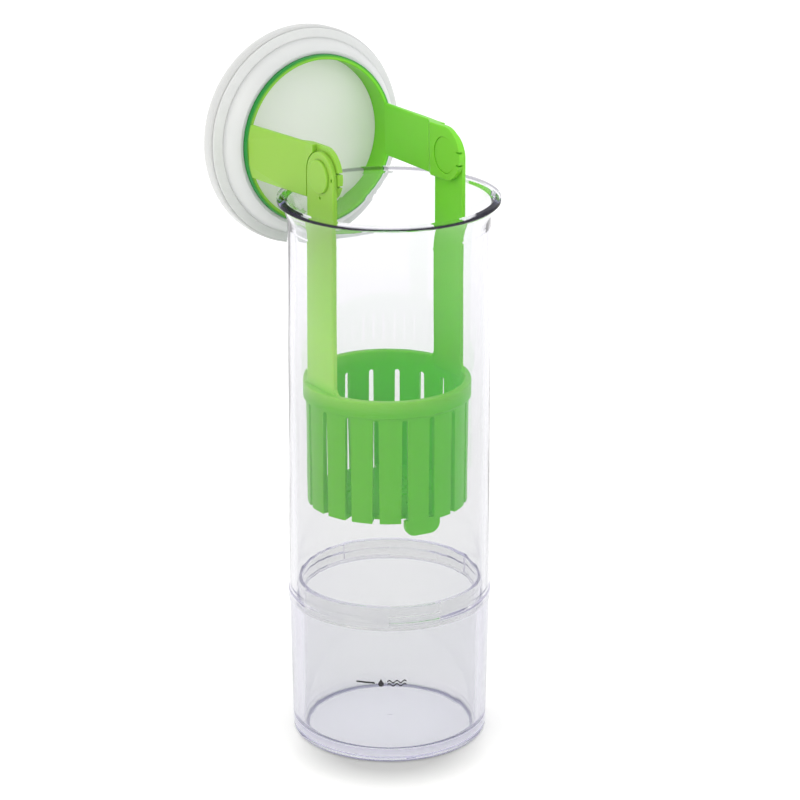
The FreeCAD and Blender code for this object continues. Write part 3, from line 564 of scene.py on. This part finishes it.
class MarkLooks(bpy.types.PropertyGroup):
    """Printed fill mark."""
    ink: FloatVectorProperty(
        name="Ink", description="Colour of the print",
        subtype="COLOR", size=3, min=0, max=1, default=(0.012, 0.012, 0.014))
    thin: FloatVectorProperty(
        name="Thin ink", description="Colour of the print's thin spots",
        subtype="COLOR", size=3, min=0, max=1, default=(0.12, 0.12, 0.13))
    height: FloatProperty(
        name="Height", description="Height of the fill line over the table",
        unit="LENGTH", min=0, max=0.07, default=0.0403)
    bearing: FloatProperty(
        name="Bearing", description="Way that the middle of the mark faces, from +X",
        subtype="ANGLE", min=-math.pi, max=math.pi, default=math.radians(-127.56))
    line_length: FloatProperty(
        name="Line", description="Length of the fill line",
        unit="LENGTH", min=0, max=0.03, default=0.0084)
    line_width: FloatProperty(
        name="Line width", description="Width of the fill line and of the waves",
        unit="LENGTH", min=0, max=0.003, default=0.0008)
    wave_length: FloatProperty(
        name="Waves", description="Length of the two waves",
        unit="LENGTH", min=0, max=0.03, default=0.0086)
    wave_rise: FloatProperty(
        name="Wave rise", description="Half the height of a wave",
        unit="LENGTH", min=0, max=0.003, default=0.00055)
    drop_radius: FloatProperty(
        name="Drop", description="Radius of the drop",
        unit="LENGTH", min=0, max=0.005, default=0.0013)
    print_depth: FloatProperty(
        name="Print", description="Thickness of the print",
        unit="LENGTH", min=0, max=0.001, default=0.00004)


class StudioLooks(bpy.types.PropertyGroup):
    """Camera, floor and light."""
    bearing: FloatProperty(
        name="Bearing", description="Way round the keeper to the camera",
        subtype="ANGLE", default=math.radians(-33.0))
    pitch: FloatProperty(
        name="Pitch", description="Camera's height as an angle over the table",
        subtype="ANGLE", default=math.radians(19.43))
    distance: FloatProperty(
        name="Distance", description="Camera to the point that it looks at",
        unit="LENGTH", min=0.1, max=10, default=1.5163)
    aside: FloatProperty(
        name="Aside", description="How far right of the tube's axis the camera looks",
        unit="LENGTH", default=0.00489)
    height: FloatProperty(
        name="Height", description="Height that the camera looks at",
        unit="LENGTH", default=0.16027)
    lens: FloatProperty(
        name="Lens", description="Focal length in millimetres",
        min=10, max=500, default=150.3)
    key_power: FloatProperty(
        name="Key", description="Power of the large soft light",
        unit="POWER", min=0, default=5.0)
    key_colour: FloatVectorProperty(
        name="Key colour", description="Colour of the large soft light",
        subtype="COLOR", size=3, min=0, max=1, default=(1.0, 0.93, 0.8))
    fill_power: FloatProperty(
        name="Fill", description="Power of the light on the other side",
        unit="POWER", min=0, default=1.5)
    sky: FloatProperty(
        name="Sky", description="Strength of the light from all round",
        min=0, default=1.06)
    floor: FloatVectorProperty(
        name="Floor", description="Colour of the floor",
        subtype="COLOR", size=3, min=0, max=1, default=(0.99, 0.99, 0.99))
    glow: FloatProperty(
        name="Floor glow", description="Light that the floor adds of its own",
        min=0, max=1, default=0.12)
    # Painted shadow: the floor's shade round the keeper's foot is painted into its colour
    shade: FloatProperty(
        name="Shade", description="Brightness of the floor in the keeper's soft shade",
        subtype="FACTOR", min=0, max=1, default=0.60)
    shade_start: FloatProperty(
        name="Shade start", description="Radius out to which the floor is shaded most",
        unit="LENGTH", min=0, max=1, default=0.0245)
    shade_end: FloatProperty(
        name="Shade end", description="Radius beyond which the floor isn't shaded",
        unit="LENGTH", min=0, max=1, default=0.0465)
    shade_shift: FloatProperty(
        name="Shade shift", description="How far the shade lies towards the camera",
        unit="LENGTH", min=0, max=0.1, default=0.028)
    glow_inside: FloatProperty(
        name="Glow inside", description="Light that the floor adds under the cup's thick base",
        min=0, max=1, default=0.42)
    # Painted light: a violet ring on the floor under the heel, standing in for light bent through
    # the cup's foot
    heel: FloatVectorProperty(
        name="Heel", description="Colour that shows through the round of the cup's foot",
        subtype="COLOR", size=3, min=0, max=1, default=(0.36, 0.36, 0.48))
    foot_radius: FloatProperty(
        name="Foot radius", description="Radius of the flat of the cup's foot",
        unit="LENGTH", min=0, max=0.1, default=0.0424)
    heel_width: FloatProperty(
        name="Heel width", description="Width of the ring in the heel's colour",
        unit="LENGTH", min=0, max=0.1, default=0.0046)
    rise: FloatProperty(
        name="Rise", description="How far the floor stands over the cup's base, to keep them apart",
        unit="LENGTH", min=0, max=0.01, default=0.00005)


# Modelling

def clear_selection():
    """Nothing selected, in object mode."""
    if bpy.context.object and bpy.context.object.mode != "OBJECT":
        bpy.ops.object.mode_set(mode="OBJECT")
    bpy.ops.object.select_all(action="DESELECT")


def pick(test):
    """Select the vertices of the edited mesh that pass a test of their place."""
    bpy.ops.mesh.select_all(action="DESELECT")
    bpy.ops.object.mode_set(mode="OBJECT")
    for vertex in bpy.context.object.data.vertices:
        vertex.select = test(vertex.co)
    bpy.ops.object.mode_set(mode="EDIT")


def ribbon(name, length, width, rise, turns, columns):
    """A flat strip in the XZ plane; with turns it waves up and down."""
    clear_selection()
    bpy.ops.mesh.primitive_grid_add(x_subdivisions=columns, y_subdivisions=2, size=1.0,
                                    rotation=(math.pi / 2, 0, 0))
    strip = bpy.context.object
    strip.name = name
    strip.scale = (length, width, 1.0)
    bpy.ops.object.transform_apply(location=True, rotation=True, scale=True)
    bpy.ops.object.mode_set(mode="EDIT")
    bpy.ops.mesh.select_mode(type="VERT")
    for column in range(columns + 1):
        across = (column / columns - 0.5) * length
        lift = rise * math.sin(2 * math.pi * turns * column / columns)
        pick(lambda place, across=across: abs(place.x - across) < length / columns / 4)
        bpy.ops.transform.translate(value=(0, 0, lift))
    bpy.ops.object.mode_set(mode="OBJECT")
    return strip


def drop(name, radius):
    """A flat drop in the XZ plane with its point up."""
    clear_selection()
    bpy.ops.mesh.primitive_circle_add(vertices=DROP_SIDES, radius=radius, fill_type="NGON",
                                      rotation=(math.pi / 2, 0, 0))
    shape = bpy.context.object
    shape.name = name
    bpy.ops.object.transform_apply(location=True, rotation=True, scale=True)
    bpy.ops.object.mode_set(mode="EDIT")
    bpy.ops.mesh.select_mode(type="VERT")
    bpy.ops.mesh.inset(thickness=radius * DROP_INSET)
    heights = [vertex.co.z for vertex in shape.data.vertices]
    rows = sorted({round(height, 6) for height in heights if height > radius * DROP_SHOULDER})
    for row in reversed(rows):
        share = row / radius
        pick(lambda place, row=row: abs(place.z - row) < SAME_ROW)
        bpy.ops.transform.resize(value=(1 - DROP_TAPER * share ** 2, 1, 1),
                                 center_override=(0, 0, row))
        bpy.ops.transform.translate(value=(0, 0, radius * DROP_STRETCH * share ** 2))
    bpy.ops.object.mode_set(mode="OBJECT")
    return shape


def wrap_on_cup(piece, looks):
    """Lay a flat shape on the cup's wall, off it by half the print's thickness."""
    clear_selection()
    piece.select_set(True)
    bpy.context.view_layer.objects.active = piece
    wall = piece.modifiers.new("wall", "SHRINKWRAP")
    wall.wrap_method = "PROJECT"
    wall.use_project_y = True
    wall.use_positive_direction = True
    wall.use_negative_direction = False
    wall.target = NODES["cup"]
    wall.offset = looks.print_depth / 2
    bpy.ops.object.modifier_apply(modifier=wall.name)


def finish_piece(piece, material, body):
    """Finish, body and material slot of a new piece."""
    piece.data.materials.clear()
    piece.data.materials.append(material)
    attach(piece, body)


# Operators

class HERBKEEPER_OT_clear(bpy.types.Operator):
    """Dress the cup and the sleeve."""
    bl_idname = "herbkeeper.clear"
    bl_label = "Clear cup and sleeve"

    def execute(self, context):
        dress(clear_plastic(context.scene.herbkeeper_clear), "cup", "sleeve")
        return {"FINISHED"}


class HERBKEEPER_OT_green(bpy.types.Operator):
    """Dress the basket, the lid's yoke and the pivot pins."""
    bl_idname = "herbkeeper.green"
    bl_label = "Green basket and yoke"

    def execute(self, context):
        looks = context.scene.herbkeeper_green
        dress(basket_plastic(looks), "basket")
        dress(yoke_plastic(looks), "lid_yoke", "pivot_pin_right", "pivot_pin_left")
        return {"FINISHED"}


class HERBKEEPER_OT_lid(bpy.types.Operator):
    """Dress the lid and its seal."""
    bl_idname = "herbkeeper.lid"
    bl_label = "Milky lid and seal"

    def execute(self, context):
        looks = context.scene.herbkeeper_lid
        dress(milky_plastic(looks), "lid_cap")
        dress(seal_rubber(looks), "lid_seal")
        return {"FINISHED"}


class HERBKEEPER_OT_mark(bpy.types.Operator):
    """Print the fill mark on the cup: a line, a drop and two waves."""
    bl_idname = "herbkeeper.mark"
    bl_label = "Fill mark"

    def execute(self, context):
        looks = context.scene.herbkeeper_mark
        ink = mark_ink(looks)
        gap = 2 * looks.line_width
        whole = looks.line_length + looks.wave_length + 2 * looks.drop_radius + 2 * gap
        left = -whole / 2
        line = ribbon("mark_line", looks.line_length, looks.line_width,
                      rise=0.0, turns=0, columns=LINE_COLUMNS)
        parts = [(line, left + looks.line_length / 2, 0.0)]
        drop_at = left + looks.line_length + gap + looks.drop_radius
        parts.append((drop("mark_drop", looks.drop_radius), drop_at, -looks.drop_radius / 3))
        wave_at = drop_at + looks.drop_radius + gap + looks.wave_length / 2
        for name, lift in (("mark_wave_upper", looks.line_width),
                           ("mark_wave_lower", -looks.line_width)):
            strip = ribbon(name, looks.wave_length, looks.line_width * WAVE_STROKE,
                           rise=looks.wave_rise, turns=WAVE_TURNS, columns=WAVE_COLUMNS)
            parts.append((strip, wave_at, lift))
        clear_selection()
        for piece, across, lift in parts:
            piece.location = (across, 0.0, lift)
            piece.select_set(True)
        bpy.context.view_layer.objects.active = parts[0][0]
        bpy.ops.object.join()
        mark = bpy.context.object
        mark.name = "fill_mark"
        bpy.ops.object.transform_apply(location=True, rotation=True, scale=True)
        outward = Vector((math.cos(looks.bearing), math.sin(looks.bearing), 0.0))
        across = Vector((-outward.y, outward.x, 0.0))
        turn = Matrix((across, -outward, Vector((0, 0, 1)))).transposed().to_4x4()
        place = outward * CUP_RADIUS * CLEAR_OF_CUP + Vector((0, 0, looks.height))
        mark.matrix_world = Matrix.Translation(place) @ turn
        wrap_on_cup(mark, looks)
        bpy.ops.object.transform_apply(location=True, rotation=True, scale=True)
        skin = mark.modifiers.new("skin", "SOLIDIFY")
        skin.thickness = looks.print_depth
        skin.offset = 0
        bpy.ops.object.modifier_apply(modifier=skin.name)
        finish_piece(mark, ink, "base")
        return {"FINISHED"}


class HERBKEEPER_OT_studio(bpy.types.Operator):
    """Set the floor, the lights and the camera."""
    bl_idname = "herbkeeper.studio"
    bl_label = "Studio"

    def execute(self, context):
        looks = context.scene.herbkeeper_studio
        self.floor(looks)
        self.sky(context.scene, looks)
        self.lamp("key", KEY_PLACE, KEY_SIZE, looks.key_power, looks.key_colour)
        self.lamp("fill", FILL_PLACE, FILL_SIZE, looks.fill_power, WHITE)
        self.camera(context.scene, looks)
        context.scene.view_settings.view_transform = "Standard"
        return {"FINISHED"}

    def floor(self, looks):
        """Pale floor, wide enough to fill the view."""
        clear_selection()
        bpy.ops.mesh.primitive_circle_add(vertices=FLOOR_SIDES, radius=FLOOR_RADIUS,
                                          fill_type="NGON", location=(0, 0, looks.rise))
        ground = bpy.context.object
        ground.name = "floor"
        ground.data.materials.append(self.floor_paint(looks))

    def floor_paint(self, looks):
        """Floor's finish: painted soft shadow round the keeper, a glow, and under the cup a painted
        ring for the heel.
        """
        material, finish = new_finish("studio floor")
        specks = finish.noise(size=0.02, detail=2.0)
        plain = finish.blend(specks, shade(looks.floor, SPECK_SHADE), colour(looks.floor))
        # Painted shadow, shifted towards the camera
        shift = (-looks.shade_shift * math.sin(looks.bearing),
                 looks.shade_shift * math.cos(looks.bearing), 0.0)
        own = finish.place()
        shifted = finish.node("ShaderNodeVectorMath", {"operation": "ADD"}, {0: own, 1: shift})
        away = finish.span(finish.reach(shifted, FROM_UPRIGHT), looks.shade_start, looks.shade_end)
        radius = finish.reach(own, FROM_UPRIGHT)
        under = finish.span(radius, *(looks.foot_radius + step for step in FOOT_CHANGE))
        # Painted ring under the heel, for the light bent through the cup's foot
        heel_start = looks.foot_radius - looks.heel_width
        heel = finish.span(radius, heel_start, heel_start + HEEL_CHANGE)
        inner = finish.blend(heel, plain, colour(looks.heel))
        around = finish.blend(away, shade(looks.floor, looks.shade), plain)
        # One strength serves both glows, so the colour of the weaker one is darkened by its share
        share = looks.glow / looks.glow_inside
        glow = finish.blend(away, shade(looks.floor, looks.shade * share),
                            shade(looks.floor, share))
        skin = finish.node("ShaderNodeBsdfPrincipled", sockets={
            "Base Color": finish.blend(under, around, inner),
            "Roughness": 0.75,
            "Emission Color": finish.blend(under, glow, inner),
            "Emission Strength": looks.glow_inside,
        })
        finish.node("ShaderNodeOutputMaterial", sockets={"Surface": skin})
        return material

    def sky(self, scene, looks):
        """Even light from all round."""
        scene.world = bpy.data.worlds.new("studio sky")
        scene.world.use_nodes = True
        finish = Finish(scene.world.node_tree)
        light = finish.node("ShaderNodeBackground", sockets={
            "Color": colour(WHITE), "Strength": looks.sky})
        finish.node("ShaderNodeOutputWorld", sockets={"Surface": light})

    def lamp(self, name, place, size, power, tint):
        """One square soft light that faces the keeper."""
        clear_selection()
        bpy.ops.object.light_add(type="AREA", location=place)
        lamp = bpy.context.object
        lamp.name = name
        lamp.data.shape = "SQUARE"
        lamp.data.size = size
        lamp.data.energy = power
        lamp.data.color = tint
        aim = LAMP_AIM - Vector(place)
        lamp.rotation_euler = aim.to_track_quat("-Z", "Y").to_euler()

    def camera(self, scene, looks):
        """Camera at its measured place."""
        flat = math.cos(looks.pitch)
        back = Vector((math.sin(looks.bearing) * flat, -math.cos(looks.bearing) * flat,
                       math.sin(looks.pitch)))
        right = Vector((math.cos(looks.bearing), math.sin(looks.bearing), 0.0))
        up = back.cross(right)
        data = bpy.data.cameras.new("camera")
        data.lens = looks.lens
        data.sensor_width = SENSOR_WIDTH
        camera = bpy.data.objects.new("camera", data)
        scene.collection.objects.link(camera)
        place = back * looks.distance + right * looks.aside + Vector((0, 0, looks.height))
        turn = Matrix((right, up, back)).transposed().to_4x4()
        camera.matrix_world = Matrix.Translation(place) @ turn
        scene.camera = camera


class HERBKEEPER_PT_panel(bpy.types.Panel):
    """Herb keeper's steps in the sidebar."""
    bl_idname = "HERBKEEPER_PT_panel"
    bl_label = "Herb keeper"
    bl_space_type = "VIEW_3D"
    bl_region_type = "UI"
    bl_category = "Herb keeper"

    def draw(self, context):
        for operator, name, group in STEPS:
            box = self.layout.box()
            box.operator(operator.bl_idname)
            looks = getattr(context.scene, name)
            for prop in group.__annotations__:
                box.prop(looks, prop)


STEPS = [
    (HERBKEEPER_OT_clear, "herbkeeper_clear", ClearLooks),
    (HERBKEEPER_OT_green, "herbkeeper_green", GreenLooks),
    (HERBKEEPER_OT_lid, "herbkeeper_lid", LidLooks),
    (HERBKEEPER_OT_mark, "herbkeeper_mark", MarkLooks),
    (HERBKEEPER_OT_studio, "herbkeeper_studio", StudioLooks),
]


def register():
    for operator, name, group in STEPS:
        bpy.utils.register_class(group)
        setattr(bpy.types.Scene, name, PointerProperty(type=group))
        bpy.utils.register_class(operator)
    bpy.utils.register_class(HERBKEEPER_PT_panel)


def unregister():
    bpy.utils.unregister_class(HERBKEEPER_PT_panel)
    for operator, name, group in reversed(STEPS):
        bpy.utils.unregister_class(operator)
        delattr(bpy.types.Scene, name)
        bpy.utils.unregister_class(group)


def main():
    """Run every step in order."""
    register()
    bpy.ops.herbkeeper.clear()
    bpy.ops.herbkeeper.green()
    bpy.ops.herbkeeper.lid()
    bpy.ops.herbkeeper.mark()
    bpy.ops.herbkeeper.studio()


if __name__ == "__main__":
    main()
